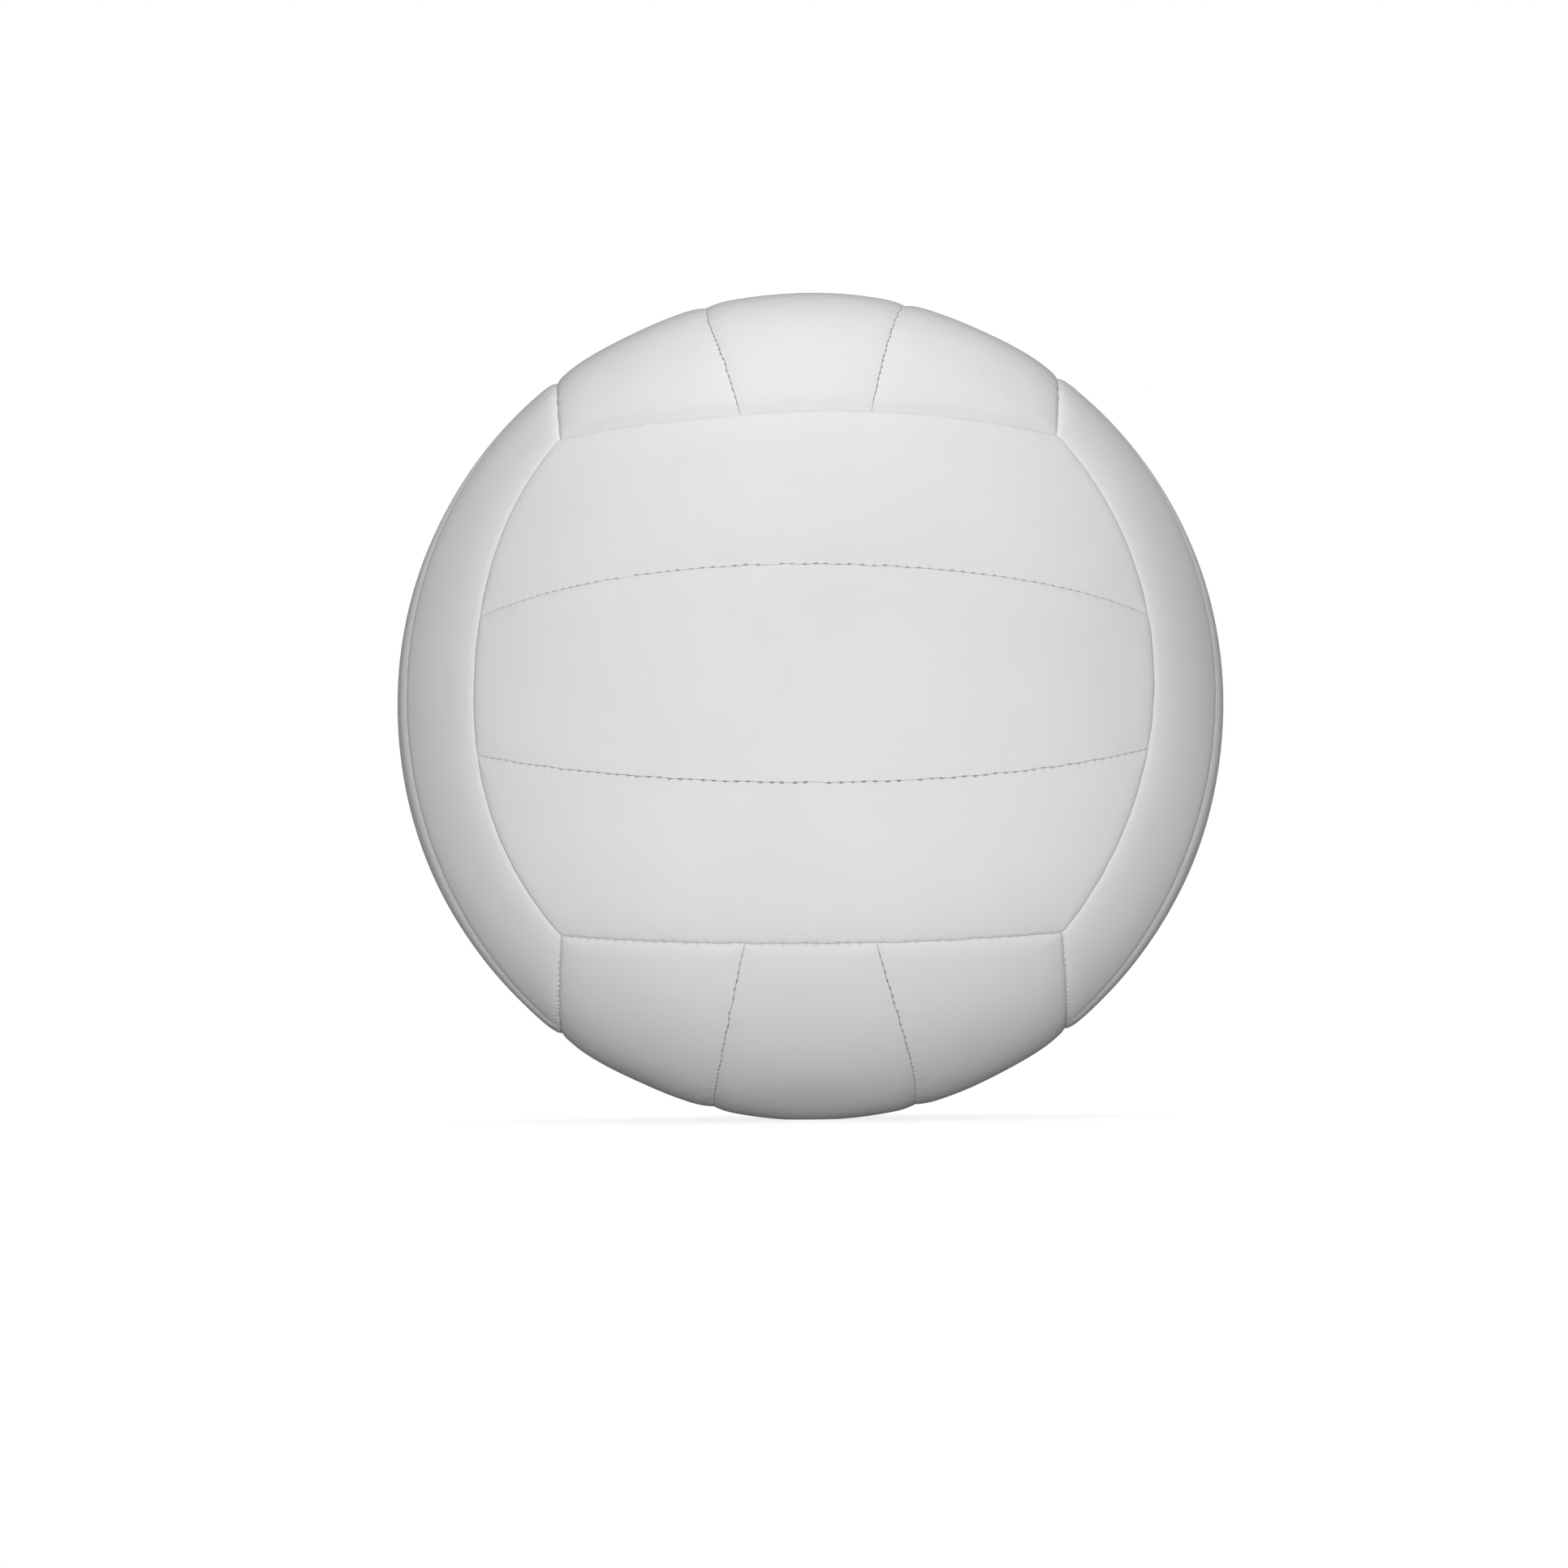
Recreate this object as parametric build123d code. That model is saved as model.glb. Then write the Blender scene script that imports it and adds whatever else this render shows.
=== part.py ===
from build123d import *
from math import acos, asin, atan, atan2, cos, degrees, pi, radians, sin, sqrt, tan
import os

# Eighteen-panel volleyball, centred on the origin. Six groups of three sewn strips cover foam pads, a cloth
# lining and a bladder. The valve comes out through the middle strip of the back group, along +Y. Sizes in mm.

# Ball and panel pattern
ball_diameter = 210.0
middle_strip_width = 51.7  # round the ball, between the two strip seams of a group
end_seam_bow = 13.75  # how far an end seam bows past the cube edge at its middle, round the ball

# Cover, foam and inner layers
cover_thickness = 1.0
fold_radius = 1.6  # inside of the rolled panel edge
corner_ease = 0.4  # how much rounder the panel's corners are than its rolled edge
seam_gap = 0.2  # between two turned-in edges
glue_line = 0.1  # between cover and foam
foam_thickness = 3.0
lining_gap = 0.2  # between the turned-in edges and the lining
lining_thickness = 0.6
bladder_gap = 0.2  # between lining and bladder
bladder_thickness = 0.6

# Sewing thread
thread_diameter = 0.6
thread_clearance = 0.1  # to the cover on one side and the foam on the other
thread_end_room = 1.0  # between a thread's end and the rounded corner in front of it

# Valve
plug_diameter = 6.0
plug_length = 20.0
plug_head_overhang = 1.0
plug_head_thickness = 1.2
plug_head_drop = 0.3  # top of the plug below the top of the neck
plug_clearance = 0.08  # radial, and under the head
needle_hole_diameter = 1.8
needle_lead_in = 0.5  # chamfer at the mouth of the needle hole
slit_depth = 6.0  # rubber under the needle hole, which the needle's slit goes through
slit_width = 0.2
slit_length = 2.4
neck_lip = 0.92  # wall of the neck round the plug's head
neck_length = 24.0
neck_recess = 0.8  # top of the neck below the panel's crown
valve_hole_clearance = 0.2  # radial, round the neck in every layer
valve_flange_diameter = 24.0
valve_flange_thickness = 1.0
bond_line = 0.05  # between the bladder and the valve's flange
patch_diameter = 28.0
patch_thickness = 0.5

# Radii of the layers, from the outside in
ball_radius = ball_diameter / 2
cover_inner = ball_radius - cover_thickness
foam_outer = cover_inner - glue_line
foam_inner = foam_outer - foam_thickness
lining_outer = foam_inner - lining_gap
lining_inner = lining_outer - lining_thickness
bladder_outer = lining_inner - bladder_gap
bladder_inner = bladder_outer - bladder_thickness

# Distances of the sides of each layer from the middle of its seam
cover_inset = seam_gap / 2
cavity_inset = cover_inset + cover_thickness
thread_inset = cavity_inset + thread_clearance + thread_diameter / 2
foam_inset = cavity_inset + thread_clearance + thread_diameter + thread_clearance
fold_outer_radius = fold_radius + cover_thickness
corner_radius = fold_radius + corner_ease
stitch_radius = (ball_radius - fold_outer_radius + foam_inner) / 2
thread_stop = cavity_inset + corner_radius + thread_end_room  # where a thread ends before the seam across it

# Seam pattern: strip seams are planes through the ball's centre, end seams are cones that meet near the centre
strip_angle = middle_strip_width / 2 / ball_radius
end_angle = pi / 4 + end_seam_bow / ball_radius
cube_corner = 1 / sqrt(3)
cone_tilt = atan2(cos(end_angle) - cube_corner, sin(end_angle) - cube_corner)
seam_ring_angle = end_angle + cone_tilt
cone_tip = ball_radius / 20  # each cone's tip along its own axis, so that no two cones share a tip
cone_half_angle = atan2(ball_radius * sin(seam_ring_angle), ball_radius * cos(seam_ring_angle) - cone_tip)
reach = ball_diameter


def arch(inner, outer):
    # part of a ball's shell over +Z, wider and longer than one group of panels
    half = radians(75)
    low = (outer * sin(half), outer * cos(half))
    high = (inner * sin(half), inner * cos(half))
    rim = [
        ThreePointArc((0, -low[0], low[1]), (0, 0, outer), (0, low[0], low[1])),
        Line((0, low[0], low[1]), (0, high[0], high[1])),
        ThreePointArc((0, high[0], high[1]), (0, 0, inner), (0, -high[0], high[1])),
        Line((0, -high[0], high[1]), (0, -low[0], low[1])),
    ]
    return revolve(Rotation(0, -75, 0) * make_face(rim), Axis.Y, 150)


def end_cone_plane(end):
    # axis of the cone that bounds a group at its +Y or -Y end; X points away from that end
    axis = (0, -end * sin(cone_tilt), cos(cone_tilt))
    return Plane((0, 0, 0), x_dir=(0, -end * cos(cone_tilt), -sin(cone_tilt)), z_dir=axis)


def side_cone_plane():
    # axis of the neighbouring group's end cone, which bounds a group at its -X side; X points away from it
    axis = (-cos(cone_tilt), 0, -sin(cone_tilt))
    return Plane((0, 0, 0), x_dir=(sin(cone_tilt), 0, -cos(cone_tilt)), z_dir=axis)


def cone(plane, growth):
    # solid cone about the plane's axis, its surface moved out by growth
    tip = cone_tip - growth / sin(cone_half_angle)
    flare = Cone(0, reach * tan(cone_half_angle), reach, align=(Align.CENTER, Align.CENTER, Align.MIN))
    return plane.location * Pos(0, 0, tip) * flare


def strip_plane(side, offset):
    # plane of a strip seam, moved outwards by offset; its normal points away from the group's middle
    normal = Vector(side * cos(strip_angle), 0, -sin(strip_angle))
    return Plane(normal * offset, x_dir=(0, 1, 0), z_dir=normal)


def panel_block(strip, inset, inner, outer, corner, roll):
    # what lies behind the middle panel or the one at -X, between two radii: its sides are moved in by inset, and
    # its corners and then its outer edges are rounded
    block = arch(inner, outer)
    for end in (-1, 1):
        block = block & cone(end_cone_plane(end), -inset)
    if strip == "middle":
        for side in (-1, 1):
            block = split(block, strip_plane(side, -inset), keep=Keep.BOTTOM)
    else:
        block = split(block, strip_plane(-1, inset), keep=Keep.TOP)
        block = block - cone(side_cone_plane(), inset)
    block = block.solids().sort_by(Axis.Z)[-1]
    posts = [edge for edge in block.edges() if inner + 0.01 < (edge @ 0.5).length < outer - 0.01]
    block = block.fillet(corner, posts)
    rim = [edge for edge in block.edges() if abs((edge @ 0.5).length - outer) < 0.01]
    return block.fillet(roll, rim)


def cover_panel(strip):
    corner = corner_radius + cover_thickness
    skin = panel_block(strip, cover_inset, foam_inner, ball_radius, corner, fold_outer_radius)
    cavity = panel_block(strip, cavity_inset, lining_inner, cover_inner, corner_radius, fold_radius)
    return skin - cavity


def foam_pad(strip):
    return panel_block(strip, foam_inset, foam_inner, foam_outer, corner_radius, fold_radius - glue_line)


def bent_thread(plane, height, radius, first, last):
    # thread bent round the plane's axis between two angles, which are counted from the plane's X
    start = Plane(
        (radius * cos(first), radius * sin(first), height),
        x_dir=(cos(first), sin(first), 0),
        z_dir=(-sin(first), cos(first), 0),
    )
    return plane.location * revolve(start * Circle(thread_diameter / 2), Axis.Z, degrees(last - first))


def strip_thread(side, offset):
    # thread beside a strip seam, moved out from the seam's plane by offset
    across = cos(strip_angle) * cos(cone_tilt)
    lean = atan2(sin(cone_tilt), across)
    to_end = acos(cos(seam_ring_angle) / sqrt(across**2 + sin(cone_tilt) ** 2)) - lean
    half = to_end - thread_stop / ball_radius
    middle = side * pi / 2
    radius = sqrt(stitch_radius**2 - offset**2)
    return bent_thread(strip_plane(side, offset), 0, radius, middle - half, middle + half)


def cone_thread(plane, offset, first, last):
    # thread beside an end seam, moved out from its cone by offset, between two angles from the seam's middle
    tip = cone_tip - offset / sin(cone_half_angle)
    slant = sqrt(stitch_radius**2 - (tip * sin(cone_half_angle)) ** 2) - tip * cos(cone_half_angle)
    height = tip + slant * cos(cone_half_angle)
    radius = slant * sin(cone_half_angle)
    stop = thread_stop / radius
    return bent_thread(plane, height, radius, pi + first + stop, pi + last - stop)


def panel_threads(strip):
    # threads round the back of one panel, one along each of its four edges
    slope = tan(strip_angle) * sin(cone_tilt)
    rise = tan(strip_angle) * cos(cone_tilt) / tan(seam_ring_angle)
    at_strip = asin(rise / sqrt(1 + slope**2)) + atan(slope)
    at_corner = asin(cube_corner / sin(seam_ring_angle))
    if strip == "middle":
        sides = [strip_thread(side, -thread_inset) for side in (-1, 1)]
        ends = [cone_thread(end_cone_plane(end), -thread_inset, -at_strip, at_strip) for end in (-1, 1)]
        return sides + ends
    return [
        strip_thread(-1, thread_inset),
        cone_thread(side_cone_plane(), thread_inset, -at_corner, at_corner),
        cone_thread(end_cone_plane(1), -thread_inset, at_strip, at_corner),
        cone_thread(end_cone_plane(-1), -thread_inset, -at_corner, -at_strip),
    ]


def rod(diameter, low, high):
    # round bar along the valve's axis between two distances from the ball's centre
    return Pos(0, 0, low) * Cylinder(diameter / 2, high - low, align=(Align.CENTER, Align.CENTER, Align.MIN))


# Valve, drawn along +Z and placed in the back group with its panels
plug_head_diameter = plug_diameter + 2 * plug_head_overhang
neck_diameter = plug_head_diameter + 2 * (plug_clearance + neck_lip)
neck_top = ball_radius - neck_recess
neck_bottom = neck_top - neck_length
plug_top = neck_top - plug_head_drop
head_bottom = plug_top - plug_head_thickness
plug_bottom = plug_top - plug_length
needle_hole_bottom = plug_bottom + slit_depth
flange_outer = bladder_inner - bond_line
valve_hole = rod(neck_diameter + 2 * valve_hole_clearance, 0, reach)

flange = arch(flange_outer - valve_flange_thickness, flange_outer) & rod(valve_flange_diameter, 0, reach)
seat = rod(plug_diameter + 2 * plug_clearance, 0, reach)
head_seat = rod(plug_head_diameter + 2 * plug_clearance, head_bottom - plug_clearance, reach)
valve_body = rod(neck_diameter, neck_bottom, neck_top) + flange - seat - head_seat

plug = rod(plug_diameter, plug_bottom, head_bottom) + rod(plug_head_diameter, head_bottom, plug_top)
needle_hole = rod(needle_hole_diameter, needle_hole_bottom, reach)
mouth = Cone(needle_hole_diameter / 2, needle_hole_diameter / 2 + needle_lead_in, needle_lead_in)
slit = Pos(0, 0, plug_bottom + slit_depth / 2) * Box(slit_length, slit_width, slit_depth)
valve_plug = plug - needle_hole - Pos(0, 0, plug_top - needle_lead_in / 2) * mouth - slit

patch_outer = foam_inner + patch_thickness
valve_patch = (arch(foam_inner, patch_outer) & rod(patch_diameter, 0, reach)) - valve_hole
patch_room = arch(lining_outer, patch_outer + glue_line) & rod(patch_diameter + 2 * glue_line, 0, reach)

# One group drawn along +Z. The outer strips are one shape: the second is the first turned half round
half_turn = Rotation(0, 0, 180)
covers = {"middle": cover_panel("middle"), "low": cover_panel("outer")}
foams = {"middle": foam_pad("middle"), "low": foam_pad("outer")}
outer_threads = panel_threads("outer")
covers["high"] = half_turn * covers["low"]
foams["high"] = half_turn * foams["low"]
threads = panel_threads("middle") + outer_threads + [half_turn * thread for thread in outer_threads]

# Six places of the group: outward axis, direction across the strips, names of the strips from low to high
groups = {
    "front": ((0, -1, 0), (0, 0, -1), "upper", "lower"),
    "back": ((0, 1, 0), (0, 0, 1), "lower", "upper"),
    "left": ((-1, 0, 0), (0, -1, 0), "rear", "front"),
    "right": ((1, 0, 0), (0, 1, 0), "front", "rear"),
    "top": ((0, 0, 1), (1, 0, 0), "left", "right"),
    "bottom": ((0, 0, -1), (-1, 0, 0), "right", "left"),
}

nodes = {}
for group, (outward, across, low_name, high_name) in groups.items():
    place = Plane((0, 0, 0), x_dir=across, z_dir=outward).location
    for strip, name in (("low", low_name), ("middle", "middle"), ("high", high_name)):
        cover = covers[strip]
        foam = foams[strip]
        if group == "back" and strip == "middle":
            cover = cover - valve_hole
            foam = foam - valve_hole - patch_room
        nodes[f"{group}_{name}_panel"] = place * cover
        nodes[f"{group}_{name}_foam"] = place * foam
    nodes[f"{group}_seam_thread"] = place * Compound([thread.solid() for thread in threads])

valve_place = Plane((0, 0, 0), x_dir=groups["back"][1], z_dir=groups["back"][0]).location
nodes["lining"] = valve_place * (Sphere(lining_outer) - Sphere(lining_inner) - valve_hole)
nodes["bladder"] = valve_place * (Sphere(bladder_outer) - Sphere(bladder_inner) - valve_hole)
nodes["valve_body"] = valve_place * valve_body
nodes["valve_plug"] = valve_place * valve_plug
nodes["valve_patch"] = valve_place * valve_patch

os.makedirs("parts", exist_ok=True)
for name, shape in nodes.items():
    export_step(shape, f"parts/{name}.step")
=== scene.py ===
from math import asin, atan2, cos, exp, pi, radians, sin, sqrt

import bpy
import numpy as np
from mathutils import Matrix, Vector


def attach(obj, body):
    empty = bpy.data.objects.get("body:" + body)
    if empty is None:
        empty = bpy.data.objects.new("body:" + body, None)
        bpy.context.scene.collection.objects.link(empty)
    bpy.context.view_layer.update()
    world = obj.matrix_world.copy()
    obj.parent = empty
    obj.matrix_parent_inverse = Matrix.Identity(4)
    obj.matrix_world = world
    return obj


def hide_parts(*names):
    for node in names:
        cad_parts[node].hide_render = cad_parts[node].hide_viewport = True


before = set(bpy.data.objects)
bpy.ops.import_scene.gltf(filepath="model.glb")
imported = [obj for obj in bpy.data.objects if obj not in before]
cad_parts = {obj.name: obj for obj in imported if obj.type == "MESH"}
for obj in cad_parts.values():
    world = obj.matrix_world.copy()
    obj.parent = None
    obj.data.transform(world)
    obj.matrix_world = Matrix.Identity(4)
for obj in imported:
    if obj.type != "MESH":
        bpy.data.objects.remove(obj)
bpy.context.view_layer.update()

# Bladder: a thin butyl rubber ball that holds the air. It is moulded in two halves, which leaves a low
# ridge round its middle, and it is bonded to the flange of the valve at its mouth.
MM = 0.001
BLADDER_OUTER = 99.9 * MM
BLADDER_INNER = 99.3 * MM
BLADDER_RIDGE = 0.12 * MM
RIDGE_HALF_ANGLE = 0.012
LAYER_STEPS = 96
LAYER_SIDES = 128
ON_AXIS = 1e-7
VALVE_HOLE = 5.2 * MM
BLADDER_BLACK = (0.016, 0.016, 0.017, 1)
BLADDER_BLOOM = (0.045, 0.044, 0.043, 1)


def node(tree, kind, **settings):
    made = tree.nodes.new(kind)
    for name, value in settings.items():
        setattr(made, name, value)
    return made


def group_tree(name, inputs, outputs):
    # an effect that several finishes share, with its own named inputs and outputs
    tree = bpy.data.node_groups.new(name, "ShaderNodeTree")
    for label, kind, value in inputs:
        tree.interface.new_socket(label, in_out="INPUT", socket_type=kind).default_value = value
    for label, kind in outputs:
        tree.interface.new_socket(label, in_out="OUTPUT", socket_type=kind)
    return tree, node(tree, "NodeGroupInput"), node(tree, "NodeGroupOutput")


def blotch_effect():
    # soft uneven colour, as from the batch of rubber, foam or coating
    tree, given, out = group_tree(
        "blotch",
        [
            ("Light", "NodeSocketColor", (1, 1, 1, 1)),
            ("Dark", "NodeSocketColor", (0, 0, 0, 1)),
            ("Per metre", "NodeSocketFloat", 50.0),
        ],
        [("Colour", "NodeSocketColor"), ("Mask", "NodeSocketFloat")],
    )
    place = node(tree, "ShaderNodeTexCoord")
    cloud = node(tree, "ShaderNodeTexNoise")
    cloud.inputs["Detail"].default_value = 5.0
    cloud.inputs["Roughness"].default_value = 0.6
    spread = node(tree, "ShaderNodeMapRange")
    spread.inputs["From Min"].default_value = 0.3
    spread.inputs["From Max"].default_value = 0.7
    tint = node(tree, "ShaderNodeMix", data_type="RGBA")
    tree.links.new(place.outputs["Object"], cloud.inputs["Vector"])
    tree.links.new(given.outputs["Per metre"], cloud.inputs["Scale"])
    tree.links.new(cloud.outputs["Fac"], spread.inputs["Value"])
    tree.links.new(spread.outputs["Result"], tint.inputs["Factor"])
    tree.links.new(given.outputs["Light"], tint.inputs["A"])
    tree.links.new(given.outputs["Dark"], tint.inputs["B"])
    tree.links.new(tint.outputs["Result"], out.inputs["Colour"])
    tree.links.new(spread.outputs["Result"], out.inputs["Mask"])
    return tree


def grain_effect():
    # fine pebbled grain, as pressed into coated leather or left by a mould's surface
    tree, given, out = group_tree(
        "grain",
        [("Per metre", "NodeSocketFloat", 1500.0), ("Smooth", "NodeSocketFloat", 0.4)],
        [("Height", "NodeSocketFloat"), ("Gloss", "NodeSocketFloat")],
    )
    place = node(tree, "ShaderNodeTexCoord")
    wander = node(tree, "ShaderNodeTexNoise")
    wander.inputs["Detail"].default_value = 2.0
    drift = node(tree, "ShaderNodeVectorMath", operation="SCALE")
    drift.inputs["Scale"].default_value = 0.0006
    shifted = node(tree, "ShaderNodeVectorMath", operation="ADD")
    pebble = node(tree, "ShaderNodeTexVoronoi", feature="SMOOTH_F1")
    fine = node(tree, "ShaderNodeTexNoise")
    fine.inputs["Detail"].default_value = 3.0
    finer = node(tree, "ShaderNodeMath", operation="MULTIPLY")
    finer.inputs[1].default_value = 2.3
    blend = node(tree, "ShaderNodeMath", operation="MULTIPLY_ADD")
    blend.inputs[1].default_value = 0.35
    gloss = node(tree, "ShaderNodeMapRange")
    gloss.inputs["From Min"].default_value = 0.2
    gloss.inputs["From Max"].default_value = 0.9
    tree.links.new(place.outputs["Object"], wander.inputs["Vector"])
    tree.links.new(given.outputs["Per metre"], wander.inputs["Scale"])
    tree.links.new(wander.outputs["Color"], drift.inputs[0])
    tree.links.new(place.outputs["Object"], shifted.inputs[0])
    tree.links.new(drift.outputs["Vector"], shifted.inputs[1])
    tree.links.new(shifted.outputs["Vector"], pebble.inputs["Vector"])
    tree.links.new(given.outputs["Per metre"], pebble.inputs["Scale"])
    tree.links.new(given.outputs["Smooth"], pebble.inputs["Smoothness"])
    tree.links.new(given.outputs["Per metre"], finer.inputs[0])
    tree.links.new(place.outputs["Object"], fine.inputs["Vector"])
    tree.links.new(finer.outputs["Value"], fine.inputs["Scale"])
    tree.links.new(fine.outputs["Fac"], blend.inputs[0])
    tree.links.new(pebble.outputs["Distance"], blend.inputs[2])
    tree.links.new(blend.outputs["Value"], out.inputs["Height"])
    tree.links.new(blend.outputs["Value"], gloss.inputs["Value"])
    tree.links.new(gloss.outputs["Result"], out.inputs["Gloss"])
    return tree


def place_group(tree, effect, **values):
    made = node(tree, "ShaderNodeGroup", node_tree=effect)
    for name, value in values.items():
        made.inputs[name.replace("_", " ")].default_value = value
    return made


def spread_roughness(tree, value, low, high):
    # a value that changes over the surface, brought between the two roughnesses of a finish
    made = node(tree, "ShaderNodeMapRange")
    made.inputs["To Min"].default_value = low
    made.inputs["To Max"].default_value = high
    tree.links.new(value, made.inputs["Value"])
    return made.outputs["Result"]


def bump(tree, height, depth, strength):
    made = node(tree, "ShaderNodeBump")
    made.inputs["Distance"].default_value = depth
    made.inputs["Strength"].default_value = strength
    tree.links.new(height, made.inputs["Height"])
    return made.outputs["Normal"]


def finish_named(name):
    finish = bpy.data.materials.new(name)
    finish.use_nodes = True
    return finish, finish.node_tree, finish.node_tree.nodes["Principled BSDF"]


BLOTCH = blotch_effect()
GRAIN = grain_effect()


def rubber(name, dark, bloom, low, high):
    finish, tree, shader = finish_named(name)
    colour = place_group(tree, BLOTCH, Light=dark, Dark=bloom, Per_metre=120.0)
    skin = place_group(tree, GRAIN, Per_metre=2600.0)
    tree.links.new(colour.outputs["Colour"], shader.inputs["Base Color"])
    tree.links.new(spread_roughness(tree, colour.outputs["Mask"], low, high), shader.inputs["Roughness"])
    tree.links.new(bump(tree, skin.outputs["Height"], 0.05 * MM, 0.5), shader.inputs["Normal"])
    shader.inputs["Specular IOR Level"].default_value = 0.45
    return finish


def mesh_piece(name, points, faces, finish):
    mesh = bpy.data.meshes.new(name)
    mesh.from_pydata(points, [], faces)
    mesh.polygons.foreach_set("use_smooth", [True] * len(mesh.polygons))
    mesh.materials.append(finish)
    piece = bpy.data.objects.new(name, mesh)
    bpy.context.scene.collection.objects.link(piece)
    return piece


def turned(name, outline, sides, finish):
    # a piece turned about the valve's axis, +Y. The outline is (radius, y) pairs with the material on its
    # left. It runs from axis to axis, or closes on itself
    rings, points = [], []
    for radius, height in outline:
        if radius < ON_AXIS:
            rings.append([len(points)] * sides)
            points.append((0.0, height, 0.0))
            continue
        rings.append(list(range(len(points), len(points) + sides)))
        turns = [2 * pi * i / sides for i in range(sides)]
        points += [(radius * cos(turn), height, radius * sin(turn)) for turn in turns]
    pairs = list(zip(rings, rings[1:]))
    if outline[0][0] > ON_AXIS:
        pairs.append((rings[-1], rings[0]))
    faces = []
    for first, second in pairs:
        for i in range(sides):
            j = (i + 1) % sides
            corners = [first[i], second[i], second[j], first[j]]
            faces.append(list(dict.fromkeys(corners)))
    return mesh_piece(name, points, faces, finish)


def shell_outline(outer, inner, hole, ridge):
    # from the pole opposite the hole, over the outside, round the mouth and back along the inside
    outline = []
    for radius, order in ((outer, 1), (inner, -1)):
        mouth = asin(hole / radius)
        angles = [pi - (pi - mouth) * i / LAYER_STEPS for i in range(LAYER_STEPS + 1)]
        swell = ridge if order == 1 else 0
        for angle in angles[::order]:
            bulge = radius + swell * max(0, 1 - abs(angle - pi / 2) / RIDGE_HALF_ANGLE)
            outline.append((bulge * sin(angle) if angle < pi else 0.0, bulge * cos(angle)))
    return outline


butyl = rubber("bladder_butyl", BLADDER_BLACK, BLADDER_BLOOM, 0.42, 0.6)
bladder_outline = shell_outline(BLADDER_OUTER, BLADDER_INNER, VALVE_HOLE, BLADDER_RIDGE)
bladder = turned("bladder_skin", bladder_outline, LAYER_SIDES, butyl)
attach(bladder, "ball")
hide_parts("bladder")

# Valve body: a soft rubber moulding with a flange bonded inside the bladder. Its neck comes out through
# lining, foam and cover, and has a stepped bore that the plug is pressed into.
NECK_RADIUS = 5 * MM
NECK_TOP = 104.2 * MM
NECK_BOTTOM = 80.2 * MM
SEAT_RADIUS = 3.08 * MM
HEAD_SEAT_RADIUS = 4.08 * MM
HEAD_SEAT_BOTTOM = 102.62 * MM
FLANGE_RADIUS = 12 * MM
FLANGE_OUTER = 99.25 * MM
FLANGE_INNER = 98.25 * MM
LIP_ROUND = 0.35 * MM
VALVE_SIDES = 96
VALVE_GREY = (0.05, 0.05, 0.052, 1)
VALVE_BLOOM = (0.085, 0.084, 0.082, 1)


def rounded(corner, before, after, radius, steps=4):
    # outline points round a corner, between the two directions that lead into and out of it
    corner, before, after = Vector(corner), Vector(before), Vector(after)
    centre = corner - before * radius + after * radius
    points = []
    for i in range(steps + 1):
        angle = pi / 2 * i / steps
        points.append(tuple(centre + before * radius * sin(angle) - after * radius * cos(angle)))
    return points


def arc_outline(radius, start, end, steps=10):
    # outline points along a layer of the ball between two distances from the valve's axis
    spread = [start + (end - start) * i / steps for i in range(steps + 1)]
    return [(x, sqrt(radius**2 - x**2)) for x in spread]


OUT, IN, UP, DOWN = (1, 0), (-1, 0), (0, 1), (0, -1)
neck_outline = (
    [(SEAT_RADIUS, NECK_BOTTOM)]
    + rounded((NECK_RADIUS, NECK_BOTTOM), OUT, UP, LIP_ROUND)
    + arc_outline(FLANGE_INNER, NECK_RADIUS, FLANGE_RADIUS)
    + arc_outline(FLANGE_OUTER, FLANGE_RADIUS, NECK_RADIUS)
    + rounded((NECK_RADIUS, NECK_TOP), UP, IN, LIP_ROUND)
    + rounded((HEAD_SEAT_RADIUS, NECK_TOP), IN, DOWN, LIP_ROUND)
    + [(HEAD_SEAT_RADIUS, HEAD_SEAT_BOTTOM), (SEAT_RADIUS, HEAD_SEAT_BOTTOM)]
)
valve_rubber = rubber("neck_rubber", VALVE_GREY, VALVE_BLOOM, 0.45, 0.65)
valve_neck = turned("valve_neck", neck_outline, VALVE_SIDES, valve_rubber)
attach(valve_neck, "ball")
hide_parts("valve_body")

# Lining: cotton and polyester cloth glued over the bladder, so that the ball keeps its size and roundness
# when it is pumped up. It has a hole for the valve's neck.
LINING_OUTER = 100.7 * MM
LINING_INNER = 100.1 * MM
CLOTH_PALE = (0.62, 0.58, 0.5, 1)
CLOTH_SHADE = (0.5, 0.46, 0.39, 1)


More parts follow.
